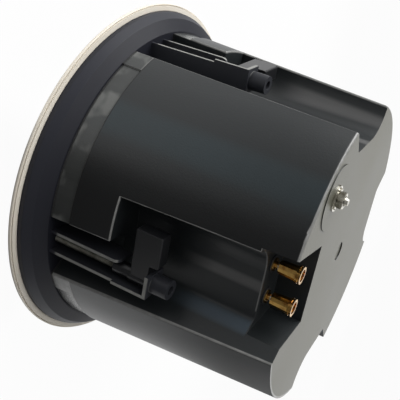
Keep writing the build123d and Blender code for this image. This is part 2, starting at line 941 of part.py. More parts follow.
with BuildPart() as anchor_nut:
    with BuildSketch(Plane.XY.offset(lock_washer_top)):
        with Locations(anchor_place):
            RegularPolygon(anchor_nut_across / 2, 6, major_radius=False)
            Circle(anchor_radius + hidden_slip, mode=Mode.SUBTRACT)
    extrude(amount=anchor_nut_height)
keep(anchor_nut, "anchor_nut")

# Woofer: frame, seal and screws
basket_outer = woofer_opening - basket_clearance
basket_slope = (basket_outer - basket_neck_radius) / (basket_rear - flange_back)
ledge_front = basket_rear - basket_sheet - spider_ledge
ledge_wall = basket_neck_radius - basket_sheet + (basket_rear - ledge_front) * basket_slope
basket_hole = coil_radius + coil_wall + coil_clearance
with BuildPart() as woofer_basket:
    with BuildSketch(Plane.XZ):
        with BuildLine():
            Polyline(
                (basket_outer - basket_sheet, flange_front),
                (woofer_flange_radius, flange_front),
                (woofer_flange_radius, flange_back),
                (basket_outer, flange_back),
                (basket_neck_radius, basket_rear),
                (basket_hole, basket_rear),
                (basket_hole, basket_rear - basket_sheet),
                (spider_outer - spider_seat, basket_rear - basket_sheet),
                (spider_outer - spider_seat, ledge_front),
                (ledge_wall, ledge_front),
                close=True,
            )
        make_face()
    revolve(axis=Axis.Z)
    with BuildSketch(Plane.XY.offset(flange_back + basket_sheet)):
        with PolarLocations(basket_outer - window_depth / 2, basket_windows):
            Rectangle(window_depth + basket_sheet, window_width)
    extrude(amount=ledge_front - flange_back - 2 * basket_sheet, mode=Mode.SUBTRACT)
    with BuildSketch(Plane.XY.offset(flange_front)):
        with Locations(*woofer_screw_places):
            Circle(small_screw_radius + hidden_slip)
    extrude(amount=woofer_flange_thickness, mode=Mode.SUBTRACT)
keep(woofer_basket, "woofer_basket")
with BuildPart() as woofer_gasket:
    with BuildSketch(Plane.XY.offset(flange_back)):
        Circle(woofer_flange_radius)
        Circle(woofer_opening, mode=Mode.SUBTRACT)
        with Locations(*woofer_screw_places):
            Circle(small_screw_radius + hidden_slip, mode=Mode.SUBTRACT)
    extrude(amount=woofer_gasket_thickness)
keep(woofer_gasket, "woofer_gasket")
screw_set("woofer_screws", woofer_screw_places, flange_front, tub_depth + woofer_screw_reach)

# Woofer: moving cone with its coil, and the two suspensions
coil_outer = coil_radius + coil_wall
cone_outer = surround_inner + surround_lip
cone_neck = coil_outer + glue_gap / 2
cone_neck_front = cone_rear - 2 * cone_sheet
woofer_cone = turned([
    (cone_neck, cone_rear),
    (cone_outer, flange_front + cone_sheet),
    (cone_outer, flange_front),
    (surround_inner, flange_front),
    (cone_neck, cone_neck_front),
])
keep(woofer_cone, "woofer_cone")
cone_slope = (cone_neck_front - flange_front) / (surround_inner - coil_outer)
cap_z = cone_neck_front - (dust_cap_radius - coil_outer) * cone_slope - glue_gap
with BuildPart() as dust_cap:
    with BuildSketch(Plane.XZ):
        with BuildLine():
            cap_arc(dust_cap_radius - cone_sheet, cap_z, dust_cap_height - cone_sheet)
            cap_arc(dust_cap_radius, cap_z, dust_cap_height)
            Line((0, cap_z - dust_cap_height), (0, cap_z - dust_cap_height + cone_sheet))
            Line((dust_cap_radius - cone_sheet, cap_z), (dust_cap_radius, cap_z))
        make_face()
    revolve(axis=Axis.Z)
keep(dust_cap, "dust_cap")
voice_coil = turned([
    (coil_radius, coil_front),
    (coil_outer, coil_front),
    (coil_outer, coil_rear),
    (coil_radius, coil_rear),
])
keep(voice_coil, "voice_coil")

roll_start = cone_outer
roll_end = surround_inner + surround_width
roll_middle = (roll_start + roll_end) / 2
roll_radius = (roll_end - roll_start) / 2
roll_base = flange_front - surround_sheet
with BuildPart() as woofer_surround:
    with BuildSketch(Plane.XZ):
        with BuildLine():
            Line((surround_inner, flange_front), (roll_start + surround_sheet, flange_front))
            ThreePointArc(
                (roll_start + surround_sheet, flange_front),
                (roll_middle, flange_front - roll_radius + surround_sheet),
                (roll_end - surround_sheet, flange_front),
            )
            Line((roll_end - surround_sheet, flange_front), (roll_end + surround_lip, flange_front))
            Line((roll_end + surround_lip, flange_front), (roll_end + surround_lip, roll_base))
            Line((roll_end + surround_lip, roll_base), (roll_end, roll_base))
            ThreePointArc(
                (roll_end, roll_base),
                (roll_middle, roll_base - roll_radius),
                (roll_start, roll_base),
            )
            Line((roll_start, roll_base), (surround_inner, roll_base))
            Line((surround_inner, roll_base), (surround_inner, flange_front))
        make_face()
    revolve(axis=Axis.Z)
keep(woofer_surround, "woofer_surround")
spider_inner = coil_outer + slip
spider_pitch = (spider_outer - spider_seat - spider_inner) / (spider_folds - 1)
spider_waves = [
    (spider_inner + i * spider_pitch, ledge_front - (i % 2) * spider_wave) for i in range(spider_folds)
]
spider = turned(
    [(radius, height - spider_sheet) for radius, height in spider_waves]
    + [(spider_outer, ledge_front - spider_sheet), (spider_outer, ledge_front)]
    + spider_waves[::-1]
)
keep(spider, "spider")

# Woofer: magnet system
plate_hole = coil_outer + pole_gap / 2
pole_radius = coil_radius - pole_gap / 2
top_plate = turned([
    (plate_hole, basket_rear),
    (top_plate_radius, basket_rear),
    (top_plate_radius, top_plate_rear),
    (plate_hole, top_plate_rear),
])
keep(top_plate, "top_plate")
woofer_magnet = turned([
    (basket_hole, top_plate_rear),
    (woofer_magnet_radius, top_plate_rear),
    (woofer_magnet_radius, magnet_rear),
    (basket_hole, magnet_rear),
])
keep(woofer_magnet, "woofer_magnet")
yoke = turned([
    (0, basket_rear),
    (pole_radius, basket_rear),
    (pole_radius, magnet_rear),
    (top_plate_radius, magnet_rear),
    (top_plate_radius, yoke_rear),
    (0, yoke_rear),
])
keep(yoke, "yoke")

# Tweeter on its bridge across the front of the woofer
bridge_back = bridge_front + bridge_thickness
housing_shoulder = tweeter_radius + tweeter_shoulder
with BuildPart() as tweeter_bridge:
    with BuildSketch(Plane.XY.offset(bridge_front)):
        Rectangle(2 * bridge_half_length, bridge_width)
        Circle(tweeter_radius + bridge_ring_width)
        Circle(tweeter_radius + hidden_slip, mode=Mode.SUBTRACT)
    extrude(amount=bridge_thickness)
    with BuildSketch(Plane.XY.offset(bridge_back)):
        for side in (-1, 1):
            with Locations((side * (bridge_half_length - bridge_foot / 2), 0)):
                Rectangle(bridge_foot, bridge_width)
    extrude(amount=seat_front - bridge_back)
    with BuildSketch(Plane.XY.offset(bridge_front)):
        with Locations(*bridge_screw_places):
            Circle(small_screw_radius + hidden_slip)
    extrude(amount=seat_front - bridge_front, mode=Mode.SUBTRACT)
keep(tweeter_bridge, "tweeter_bridge")
screw_set("bridge_screws", bridge_screw_places, bridge_front, seat_height + bridge_screw_reach)

faceplate_back = tweeter_front + faceplate_thickness
housing_rear = tweeter_front + tweeter_depth
housing_floor = housing_rear - tweeter_wall
tweeter_housing = turned([
    (tweeter_radius - tweeter_wall, faceplate_back),
    (housing_shoulder, faceplate_back),
    (housing_shoulder, bridge_front),
    (tweeter_radius, bridge_front),
    (tweeter_radius, housing_rear),
    (0, housing_rear),
    (0, housing_floor),
    (tweeter_radius - tweeter_wall, housing_floor),
])
keep(tweeter_housing, "tweeter_housing")
tweeter_magnet = turned([
    (0, housing_floor - tweeter_magnet_thickness),
    (tweeter_magnet_radius, housing_floor - tweeter_magnet_thickness),
    (tweeter_magnet_radius, housing_floor),
    (0, housing_floor),
])
keep(tweeter_magnet, "tweeter_magnet")
dome_back = housing_floor - tweeter_magnet_thickness
dome_flange = tweeter_radius - tweeter_wall - slip
with BuildPart() as tweeter_dome:
    with BuildSketch(Plane.XZ):
        with BuildLine():
            cap_arc(dome_radius, dome_back, dome_height)
            cap_arc(dome_radius, dome_back - dome_sheet, dome_height)
            Line((0, dome_back - dome_height), (0, dome_back - dome_sheet - dome_height))
            Polyline(
                (dome_radius, dome_back),
                (dome_flange, dome_back),
                (dome_flange, dome_back - dome_sheet),
                (dome_radius, dome_back - dome_sheet),
            )
        make_face()
    revolve(axis=Axis.Z)
keep(tweeter_dome, "tweeter_dome")
tweeter_faceplate = turned([
    (dome_radius + dome_clearance, tweeter_front),
    (housing_shoulder, tweeter_front),
    (housing_shoulder, faceplate_back),
    (dome_radius + dome_clearance, faceplate_back),
])
keep(tweeter_faceplate, "tweeter_faceplate")

# Crossover on the inside of the rear wall
with BuildPart() as crossover_board:
    with BuildSketch(local_plane(terminal_angle, board_front)):
        with Locations((board_center_x, 0)):
            RectangleRounded(board_length, board_width, board_corner)
            with GridLocations(board_length - 2 * board_inset, board_width - 2 * board_inset, 2, 2):
                Circle(small_screw_radius + hidden_slip, mode=Mode.SUBTRACT)
    extrude(amount=board_thickness)
keep(crossover_board, "crossover_board")
screw_set("board_screws", board_screw_places, board_front, box_rear_inside - board_screw_tip)
with BuildPart() as inductors:
    with BuildSketch(local_plane(terminal_angle, board_front - inductor_height)):
        for side in (-1, 1):
            with Locations((board_center_x - board_length / 4, side * (inductor_radius + part_gap))):
                Circle(inductor_radius)
                Circle(inductor_core_radius, mode=Mode.SUBTRACT)
    extrude(amount=inductor_height)
keep(inductors, "inductors")
with BuildPart() as capacitors:
    for row in (0, 1):
        near_x = board_center_x + capacitor_radius + row * (2 * capacitor_radius + part_gap)
        end = channel_point(terminal_angle, near_x, -capacitor_length - part_gap)
        along = (*polar(1, terminal_angle + 90), 0)
        with BuildSketch(Plane(origin=(*end, board_front - capacitor_radius), z_dir=along)):
            Circle(capacitor_radius)
        extrude(amount=capacitor_length)
keep(capacitors, "capacitors")
with BuildPart() as resistor:
    with BuildSketch(local_plane(terminal_angle, board_front - resistor_side)):
        with Locations((board_center_x + board_length / 4, resistor_offset)):
            Rectangle(resistor_length, resistor_side)
    extrude(amount=resistor_side)
keep(resistor, "resistor")

# Damping between the magnet and the crossover
acoustic_wadding = turned([
    (0, wadding_front),
    (wadding_radius, wadding_front),
    (wadding_radius, wadding_rear),
    (0, wadding_rear),
])
keep(acoustic_wadding, "acoustic_wadding")
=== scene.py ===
"""Looks of a closed-back in-ceiling speaker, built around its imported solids. Lengths are metres.

The part stands on its grille with the rear of its back box upwards.
"""
import json
from math import cos, pi, radians, sin, tan

import bmesh
import bpy
from mathutils import Matrix, Vector


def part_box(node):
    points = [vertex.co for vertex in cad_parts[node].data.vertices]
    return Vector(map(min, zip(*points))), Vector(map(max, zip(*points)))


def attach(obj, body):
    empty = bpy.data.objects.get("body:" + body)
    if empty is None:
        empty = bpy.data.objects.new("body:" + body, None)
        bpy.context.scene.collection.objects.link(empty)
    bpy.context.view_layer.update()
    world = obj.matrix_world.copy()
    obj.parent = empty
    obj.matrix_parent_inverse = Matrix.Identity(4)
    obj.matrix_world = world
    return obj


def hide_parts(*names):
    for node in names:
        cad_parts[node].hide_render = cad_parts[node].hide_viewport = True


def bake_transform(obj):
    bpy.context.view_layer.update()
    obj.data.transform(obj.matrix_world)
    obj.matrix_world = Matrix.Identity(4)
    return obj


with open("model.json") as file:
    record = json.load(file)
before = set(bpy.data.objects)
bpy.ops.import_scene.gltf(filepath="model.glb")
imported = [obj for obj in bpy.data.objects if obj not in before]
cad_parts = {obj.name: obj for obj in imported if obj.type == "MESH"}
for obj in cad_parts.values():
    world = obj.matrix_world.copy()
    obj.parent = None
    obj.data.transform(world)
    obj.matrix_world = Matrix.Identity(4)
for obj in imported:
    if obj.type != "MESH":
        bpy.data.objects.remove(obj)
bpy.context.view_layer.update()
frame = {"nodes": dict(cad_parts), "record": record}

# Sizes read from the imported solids
MM = 0.001
grille_low, grille_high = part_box("grille")
floor_height = grille_low.z
grille_back = grille_high.z
rim_radius = min(-grille_low.x, -grille_low.y, grille_high.x, grille_high.y)
box_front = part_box("back_box")[0].z
box_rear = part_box("back_box")[1].z
box_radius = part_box("back_box")[1].x
nut_low, nut_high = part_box("anchor_nut")
anchor_axis = (nut_low + nut_high) / 2
stud_low, stud_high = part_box("anchor_bolt")

# Perforated grille
GRILLE_SHEET = 0.7 * MM
GRILLE_FOLD_ROUND = 0.5 * MM
HOLE_PITCH = 4.2 * MM
HOLE_RADIUS = 1.3 * MM
HOLE_SIDES = 12
FIELD_RADIUS = 108 * MM
RIM_SIDES = 266

# Distances within which the corners of a closed shape and of the hole cells are merged
WELD = 0.002 * MM
CELL_WELD = 0.02 * MM

# Angle from which an edge is drawn sharp
SHARP_ANGLE = radians(35)

# Threads, with the crest's start and end as shares of the pitch
CLAMP_THREAD = {"radius": 2.5 * MM, "depth": 0.42 * MM, "pitch": 0.8 * MM}
CREST_START = 0.42
CREST_END = 0.58
THREAD_SIDES = 14
THREAD_SINK = 0.2 * MM

# Heads of the clamp screws and the anchor stud, and the stud's tip
CLAMP_HEAD_RADIUS = 4.6 * MM
CLAMP_HEAD_HEIGHT = 3.0 * MM
CLAMP_HEAD_ROUND = 1.2 * MM
CLAMP_HEAD_SIDES = 32
ANCHOR_HEAD_HEIGHT = 3.2 * MM
TIP_HEIGHT = 0.6 * MM
TIP_SIDES = 24
TIP_BASE_RADIUS = 2.45 * MM
TIP_END_RADIUS = 1.9 * MM

# Anchor nut: the round of its end faces as a share of its width, and its countersink
NUT_ACROSS = 9.0 * MM
NUT_LOOP_SIDES = 48
NUT_CHAMFER = radians(30)
NUT_BORE = 2.6 * MM
NUT_ROUND_SHARE = 0.97
NUT_EDGE = 0.08 * MM
COUNTERSINK_SHARE = 1.15
COUNTERSINK_DEPTH = 0.4 * MM

# Soft rings of the woofer, cut into like sectors
FLEX_SECTORS = 16

# Recessed band at the front of the back box, and the box's taper
BAND_HEIGHT = 12.5 * MM
BOX_SLOPE = 8.3 / 144.7

# Big face between two channels: its direction, where it begins, and the painted blue-green sheen along it
FACE_ANGLE = radians(-90)
FACE_REACH = (60 * MM, 70 * MM)
PAINTED_SHEEN_OFFSET = 6 * MM
PAINTED_SHEEN_WIDTH = 14 * MM

# Clamp channels: their directions, where they begin, and the place and width of each painted reflection
# streak in them
TERMINAL_ANGLE = radians(-47)
CHANNEL_ANGLES = (radians(-133), TERMINAL_ANGLE, radians(47), radians(133))
CHANNEL_REACH = (50 * MM, 52 * MM)
REFLECTION_HEIGHTS = (82 * MM, 110 * MM)
GRAY_REFLECTION_STREAKS = ((-26.5 * MM, 6 * MM), (-0.5 * MM, 4.5 * MM))
BLUE_REFLECTION_STREAK = (23.5 * MM, 3.5 * MM)

# Terminal pocket: its depth from the rear face, and where the painted highlight on its front edge ends
POCKET_DROP = 20.2 * MM
POCKET_SIDE = (14 * MM, 16 * MM)

# Chassis: top of its ring, and the place of the clamp rails' outer edges
RING_END = 15 * MM
RAIL_START = 16 * MM
RAIL_END = 83 * MM
RAIL_INSIDE = 99 * MM
RAIL_OUTSIDE = 101 * MM

# Tints on the chassis: its ring, painted shade on the shoulder on it, scuffs, and the polished rail edges
# with painted highlights
RING_TINT = (0.027, 0.0285, 0.037, 1)
SHOULDER_SHADE_TINT = (0.015, 0.0158, 0.022, 1)
CHASSIS_SCUFF_TINT = (0.05, 0.05, 0.056, 1)
RAIL_POLISH_HIGHLIGHT_TINT = (0.32, 0.32, 0.30, 1)

# Tints on the back box: painted sheen and shade on its big face, its band, painted reflections in its
# channels, painted highlights, and its dust and wear
PAINTED_SHEEN_TINT = (0.022, 0.036, 0.042, 1)
PAINTED_SHADE_BLACK = (0.004, 0.0045, 0.005, 1)
RUBBED_TINT = (0.055, 0.058, 0.056, 1)
BAND_HIGHLIGHT_TINT = (0.16, 0.163, 0.155, 1)
STEP_HIGHLIGHT_TINT = (0.16, 0.16, 0.155, 1)
STEP_SHADE_TINT = (0.002, 0.002, 0.002, 1)
GRAY_REFLECTION_TINT = (0.10, 0.10, 0.10, 1)
BLUE_REFLECTION_TINT = (0.045, 0.065, 0.085, 1)
POCKET_HIGHLIGHT_TINT = (0.2, 0.2, 0.195, 1)
DUST_TINT = (0.127, 0.122, 0.082, 1)
SCUFF_TINT = (0.045, 0.047, 0.048, 1)
WORN_HIGHLIGHT_TINT = (0.28, 0.28, 0.27, 1)

# Shine of the black mouldings seen squarely, and the rounding of their edges and its samples
BLACK_SPECULAR = 0.5
CHASSIS_SPECULAR = 0.22
EDGE_ROUND = 0.5 * MM
EDGE_SAMPLES = 6

# Floor, with the share of plain white that the camera sees on it
FLOOR_RADIUS = 60
FLOOR_SIDES = 96
FLOOR_GAP = 0.05 * MM
PALE_FLOOR = (0.75, 0.75, 0.75)
SHADED_FLOOR = (0.14, 0.14, 0.14)
WHITE_SHARE = 0.96

# Wedge of floor in shade: its direction, and the angles from it at which the shade ends and begins
SHADED_SIDE = (cos(radians(-46)), sin(radians(-46)), 0)
SHADE_END = radians(34)
SHADE_START = radians(22)

# Distances between which the pale floor turns to the shaded one, and how far it turns
PALE_REACH = 0.28
PALE_END = 0.55
FAR_SHADE = 0.85

# Light: the point that the panels face, and the strength of the grey surround
LIGHT_TARGET = Vector((0, 0, 0.08))
SURROUND_STRENGTH = 0.28

# Camera fitted to the view: 400 pixels across
CAMERA_PLACE = Vector((0.1125, -0.38864, 0.22562))
CAMERA_FORWARD = Vector((-0.34255, 0.87408, -0.3445))
CAMERA_UP = Vector((-0.83068, -0.45303, -0.3236))
CAMERA_LENS = 56.25
CAMERA_SENSOR = 36.0
CAMERA_SHIFT = (-0.1225, -0.1075)
CAMERA_CLIP = (0.01, 200)


class Value:
    """Socket of a finish that takes part in Python sums."""

    def __init__(self, finish, socket):
        self.finish = finish
        self.socket = socket

    def sum(self, operation, first, second):
        return self.finish.node("ShaderNodeMath", {"operation": operation}, {0: first, 1: second})

    def __add__(self, other):
        return self.sum("ADD", self, other)

    def __radd__(self, other):
        return self.sum("ADD", other, self)

    def __sub__(self, other):
        return self.sum("SUBTRACT", self, other)

    def __rsub__(self, other):
        return self.sum("SUBTRACT", other, self)

    def __mul__(self, other):
        return self.sum("MULTIPLY", self, other)

    def __rmul__(self, other):
        return self.sum("MULTIPLY", other, self)


class Finish:
    """Material with one Principled shader, and the few kinds of node that the finishes share."""

    def __init__(self, name, color, roughness, metallic=0.0, **constants):
        self.material = bpy.data.materials.new(name)
        self.material.use_nodes = True
        self.tree = self.material.node_tree
        self.shader = self.tree.nodes["Principled BSDF"]
        self.shader.inputs["Base Color"].default_value = (*color, 1)
        self.shader.inputs["Roughness"].default_value = roughness
        self.shader.inputs["Metallic"].default_value = metallic
        for socket, value in constants.items():
            self.shader.inputs[socket.replace("_", " ")].default_value = value
        self.place = self.node("ShaderNodeTexCoord", output="Object")

    def node(self, kind, settings=None, sockets=None, output=0):
        """New node of a kind, with its settings made first and its sockets fed next."""
        made = self.tree.nodes.new(kind)
        for name, setting in (settings or {}).items():
            setattr(made, name, setting)
        for name, value in (sockets or {}).items():
            self.feed(made.inputs[name], value)
        return Value(self, made.outputs[output])

    def feed(self, socket, value):
        """Link a socket to a Value, or set it to a plain number or colour."""
        if isinstance(value, Value):
            self.tree.links.new(value.socket, socket)
        else:
            socket.default_value = value

    def shade(self, **sockets):
        """Feed sockets of the shader by name."""
        for socket, value in sockets.items():
            self.feed(self.shader.inputs[socket.replace("_", " ")], value)

    def noise(self, scale, detail=2.0, roughness=0.5, stretch=None):
        """Noise between 0 and 1 over the piece, stretched by a scale along each axis if given."""
        place = self.place
        if stretch:
            place = self.node("ShaderNodeMapping", {}, {"Vector": place, "Scale": stretch})
        sockets = {"Vector": place, "Scale": scale, "Detail": detail, "Roughness": roughness}
        return self.node("ShaderNodeTexNoise", {}, sockets)

    def axis(self, letter):
        """One coordinate of the place on the piece."""
        return self.node("ShaderNodeSeparateXYZ", {}, {0: self.place}, letter)

    def along(self, angle):
        """How far the place lies from the middle towards an angle about the axis."""
        sockets = {0: self.place, 1: (cos(angle), sin(angle), 0)}
        return self.node("ShaderNodeVectorMath", {"operation": "DOT_PRODUCT"}, sockets, "Value")

    def facing(self, letter):
        """One coordinate of the surface's own direction."""
        direction = self.node("ShaderNodeNewGeometry", output="Normal")
        return self.node("ShaderNodeSeparateXYZ", {}, {0: direction}, letter)

    def from_axis(self):
        """Distance from the speaker's axis, and how squarely the surface faces away from the axis."""
        level = self.node("ShaderNodeVectorMath", {"operation": "MULTIPLY"}, {0: self.place, 1: (1, 1, 0)})
        distance = self.node("ShaderNodeVectorMath", {"operation": "LENGTH"}, {0: level}, "Value")
        outward = self.node("ShaderNodeVectorMath", {"operation": "NORMALIZE"}, {0: level})
        direction = self.node("ShaderNodeNewGeometry", output="Normal")
        sockets = {0: direction, 1: outward}
        return distance, self.node("ShaderNodeVectorMath", {"operation": "DOT_PRODUCT"}, sockets, "Value")

    def between(self, value, low, high):
        """Value carried smoothly from 0 at low to 1 at high."""
        settings = {"interpolation_type": "SMOOTHSTEP"}
        sockets = {"Value": value, "From Min": low, "From Max": high}
        return self.node("ShaderNodeMapRange", settings, sockets)

    def window(self, value, start, full, fade, end):
        """1 where a value lies from full to fade, carried smoothly to 0 at start and at end."""
        return self.between(value, start, full) * (1 - self.between(value, fade, end))

    def stripe(self, place, middle, width):
        """Soft stripe: 1 where a place is at its middle, carried smoothly to 0 a width away."""
        offset = place - middle
        return 1 - self.between(offset * offset, 0, width * width)

    def mix(self, share, first, second):
        """Colour between two colours."""
        return self.node("ShaderNodeMix", {"data_type": "RGBA"}, {0: share, 6: first, 7: second}, 2)

    def rounded(self, radius):
        """Direction of the surface with its edges rounded off."""
        return self.node("ShaderNodeBevel", {"samples": EDGE_SAMPLES}, {"Radius": radius})

    def bump(self, height, strength, distance, normal=None):
        """Bump from a height into the shader's normal, over a rounded surface if one is given."""
        sockets = {"Height": height, "Strength": strength, "Distance": distance}
        if normal:
            sockets["Normal"] = normal
        self.shade(Normal=self.node("ShaderNodeBump", {}, sockets))


def moulded_black(name, color, roughness):
    """Satin moulded plastic with a fine etched grain, soft gloss changes and hairline scuffs."""
    finish = Finish(name, color, roughness, Specular_IOR_Level=BLACK_SPECULAR)
    cloud = finish.noise(22, 3)
    scuff = finish.between(finish.noise(60, 5, 0.7, (1, 1, 9)), 0.62, 0.8)
    light = tuple(channel * 1.9 + 0.006 for channel in color)
    finish.shade(Base_Color=finish.mix(scuff * 0.5, (*color, 1), (*light, 1)))
    finish.shade(Roughness=roughness - 0.07 + cloud * 0.14 + scuff * 0.06)
    finish.bump(finish.noise(2600, 2), 0.1, 0.05 * MM, finish.rounded(EDGE_ROUND))
    return finish


def chassis_black():
    """Moulded black of the chassis: rail edges polished by the dog legs and lit with painted highlights, a
    ring with painted shade on its shoulder.
    """
    color = (0.026, 0.0275, 0.033)
    roughness = 0.48
    finish = Finish("chassis_black", color, roughness, Specular_IOR_Level=CHASSIS_SPECULAR)
    height = finish.axis("Z")
    distance, outward = finish.from_axis()
    cloud = finish.noise(22, 3)
    scuff = finish.between(finish.noise(60, 5, 0.7, (9, 9, 1)), 0.6, 0.8)
    along_rail = finish.window(height, RAIL_START, RAIL_START + 2 * MM, RAIL_END - 2 * MM, RAIL_END)
    rail = along_rail * finish.between(distance, RAIL_INSIDE, RAIL_OUTSIDE)
    # Rail edges polished by the dog legs, lightened further as painted highlights
    polish_and_highlight = rail * finish.between(outward, 0.6, 0.85) * (0.3 + finish.noise(160, 4) * 0.9)
    ring = 1 - finish.between(height, RING_END - 1 * MM, RING_END)
    # Painted shade: the ring's up-facing shoulder in a darker tint
    shoulder = ring * finish.between(finish.facing("Z"), 0.45, 0.7)
    ringed = finish.mix(ring, (*color, 1), RING_TINT)
    shoulder_shaded = finish.mix(shoulder, ringed, SHOULDER_SHADE_TINT)
    rubbed = finish.mix(scuff * 0.3, shoulder_shaded, CHASSIS_SCUFF_TINT)
    finish.shade(Base_Color=finish.mix(polish_and_highlight, rubbed, RAIL_POLISH_HIGHLIGHT_TINT))
    finish.shade(Roughness=roughness - 0.06 + cloud * 0.12 + scuff * 0.06 - polish_and_highlight * 0.08)
    finish.bump(finish.noise(2600, 2), 0.1, 0.05 * MM, finish.rounded(EDGE_ROUND))
    return finish


def back_box_black():
    """Moulded black of the back box: handled band, channels streaked with painted reflections, painted
    sheen, shade and highlights, dusty rear face, worn edges.
    """
    color = (0.0140, 0.0168, 0.0180)
    roughness = 0.4
    finish = Finish("back_box_black", color, roughness, Specular_IOR_Level=BLACK_SPECULAR)
    height = finish.axis("Z")
    up = finish.facing("Z")
    distance, outward = finish.from_axis()
    cloud = finish.noise(18, 3)
    streak = finish.noise(55, 5, 0.65, (1, 1, 0.12))
    scuff = finish.between(finish.noise(85, 6, 0.72, (1, 1, 3)), 0.62, 0.82)
    step_height = box_front + BAND_HEIGHT
    skin_depth = box_radius - (height - step_height) * BOX_SLOPE - distance
    near_skin = 1 - finish.between(skin_depth, 1.0 * MM, 1.5 * MM)
    edge = near_skin * (1 - finish.between(outward, 0.88, 0.985))
    # Worn edges, lightened further as painted highlights
    edge_wear_and_highlight = edge * (0.4 + finish.noise(190, 4) * 0.8)
    at_rear = finish.between(height, box_rear - 4 * MM, box_rear - 2 * MM)
    rear_face = finish.between(up, 0.8, 0.98) * at_rear
    band = near_skin * (1 - finish.between(height, step_height - 0.4 * MM, step_height))
    # Painted highlights in patches on the band
    band_highlight = finish.between(finish.noise(62, 2), 0.47, 0.64)

    # Big face: a painted blue-green sheen along it, with painted shade in a deeper black beside the sheen
    face = near_skin * finish.between(finish.along(FACE_ANGLE), *FACE_REACH)
    beside = finish.along(FACE_ANGLE + pi / 2) - PAINTED_SHEEN_OFFSET
    painted_sheen = face * finish.stripe(beside, 0, PAINTED_SHEEN_WIDTH)
    sheen_painted = finish.mix(painted_sheen * (0.4 + cloud * 0.5), (*color, 1), PAINTED_SHEEN_TINT)
    # Painted shade: a deeper black beside the painted sheen
    black = face * finish.between(beside, PAINTED_SHEEN_WIDTH * 0.8, PAINTED_SHEEN_WIDTH * 2)
    shade_painted = finish.mix(black, sheen_painted, PAINTED_SHADE_BLACK)

    # Handled band with painted highlights in patches, and a painted highlight and a painted shade line at
    # its step
    rubbed = finish.mix(band * (0.3 + streak * 0.9), shade_painted, RUBBED_TINT)
    band_highlit = finish.mix(band * band_highlight * 0.75, rubbed, BAND_HIGHLIGHT_TINT)
    from_step = height - step_height
    # Painted highlight: a light line just below the step
    step_highlight = near_skin * finish.window(from_step, -0.9 * MM, -0.6 * MM, -0.1 * MM, 0)
    # Painted shade: a dark line just above the step
    step_shade = near_skin * finish.window(from_step, -0.1 * MM, 0, 0.5 * MM, 0.7 * MM)
    step_highlit = finish.mix(step_highlight * 0.6, band_highlit, STEP_HIGHLIGHT_TINT)
    step_shaded = finish.mix(step_shade * 0.8, step_highlit, STEP_SHADE_TINT)

    # Clamp channels: painted reflections streaked along their walls, which end at the terminal pocket
    pocket_front = box_rear - POCKET_DROP
    deep = finish.between(skin_depth, 6 * MM, 10 * MM) * (1 - finish.between(up, 0.5, 0.8))
    before_pocket = 1 - finish.between(height, pocket_front - 1.5 * MM, pocket_front - 0.5 * MM)
    sheen = deep * finish.between(height, *REFLECTION_HEIGHTS) * (0.5 + streak * 0.8)
    gray_reflection = 0
    blue_reflection = 0
    for angle in CHANNEL_ANGLES:
        inside = sheen * finish.between(finish.along(angle), *CHANNEL_REACH)
        if angle == TERMINAL_ANGLE:
            inside = inside * before_pocket
        across = finish.along(angle + pi / 2)
        for middle, width in GRAY_REFLECTION_STREAKS:
            gray_reflection = inside * finish.stripe(across, middle, width) + gray_reflection
        blue_reflection = inside * finish.stripe(across, *BLUE_REFLECTION_STREAK) + blue_reflection
    gray_reflected = finish.mix(gray_reflection, step_shaded, GRAY_REFLECTION_TINT)
    blue_reflected = finish.mix(blue_reflection, gray_reflected, BLUE_REFLECTION_TINT)

    # Painted highlight along the front edge of the terminal pocket
    pocket_highlight_line = (-1.5 * MM, -1.2 * MM, -0.6 * MM, -0.4 * MM)
    pocket_highlight = deep * finish.window(height - pocket_front, *pocket_highlight_line)
    pocket_highlight = pocket_highlight * (1 - finish.between(finish.along(TERMINAL_ANGLE + pi / 2), *POCKET_SIDE))
    pocket_highlight = pocket_highlight * finish.between(finish.along(TERMINAL_ANGLE), *CHANNEL_REACH)
    pocket_highlit = finish.mix(pocket_highlight * 0.8, blue_reflected, POCKET_HIGHLIGHT_TINT)

    # Dust on the rear face, scuffs, worn edges lightened also as painted highlights, and grain
    dusty = finish.mix(rear_face * (0.45 + cloud * 0.4), pocket_highlit, DUST_TINT)
    scuffed = finish.mix(scuff * 0.3, dusty, SCUFF_TINT)
    finish.shade(Base_Color=finish.mix(edge_wear_and_highlight, scuffed, WORN_HIGHLIGHT_TINT))
    finish.shade(Roughness=roughness - 0.05 + cloud * 0.1 + scuff * 0.07 - band * 0.16 - edge * 0.1)
    grain = finish.noise(2400, 2) + finish.noise(850, 2) * 1.4
    finish.bump(grain + streak * 0.4, 0.4, 0.1 * MM, finish.rounded(EDGE_ROUND))
    return finish


def cream_coat(name, color, roughness, peel):
    """Cream paint or plastic with a faint orange peel and slight yellowing."""
    finish = Finish(name, color, roughness)
    warm = (color[0] * 0.97, color[1] * 0.93, color[2] * 0.84)
    finish.shade(Base_Color=finish.mix(finish.noise(30, 4) * 0.8, (*color, 1), (*warm, 1)))
    finish.shade(Roughness=roughness - 0.05 + finish.noise(120, 3) * 0.1)
    finish.bump(finish.noise(peel, 2), 0.14, 0.06 * MM)
    return finish


def plated(name, color, stain, roughness, scratch):
    """Plated metal with a mottled plating tint and fine scratches."""
    finish = Finish(name, color, roughness, metallic=1.0)
    mottle = finish.noise(260, 4, 0.6)
    lines = finish.noise(900, 3, 0.6, (1, 1, 7))
    finish.shade(Base_Color=finish.mix(finish.between(mottle, 0.4, 0.75), (*color, 1), (*stain, 1)))
    finish.shade(Roughness=roughness - 0.06 + mottle * 0.1 + lines * 0.08)
    finish.bump(lines, scratch, 0.03 * MM)
    return finish


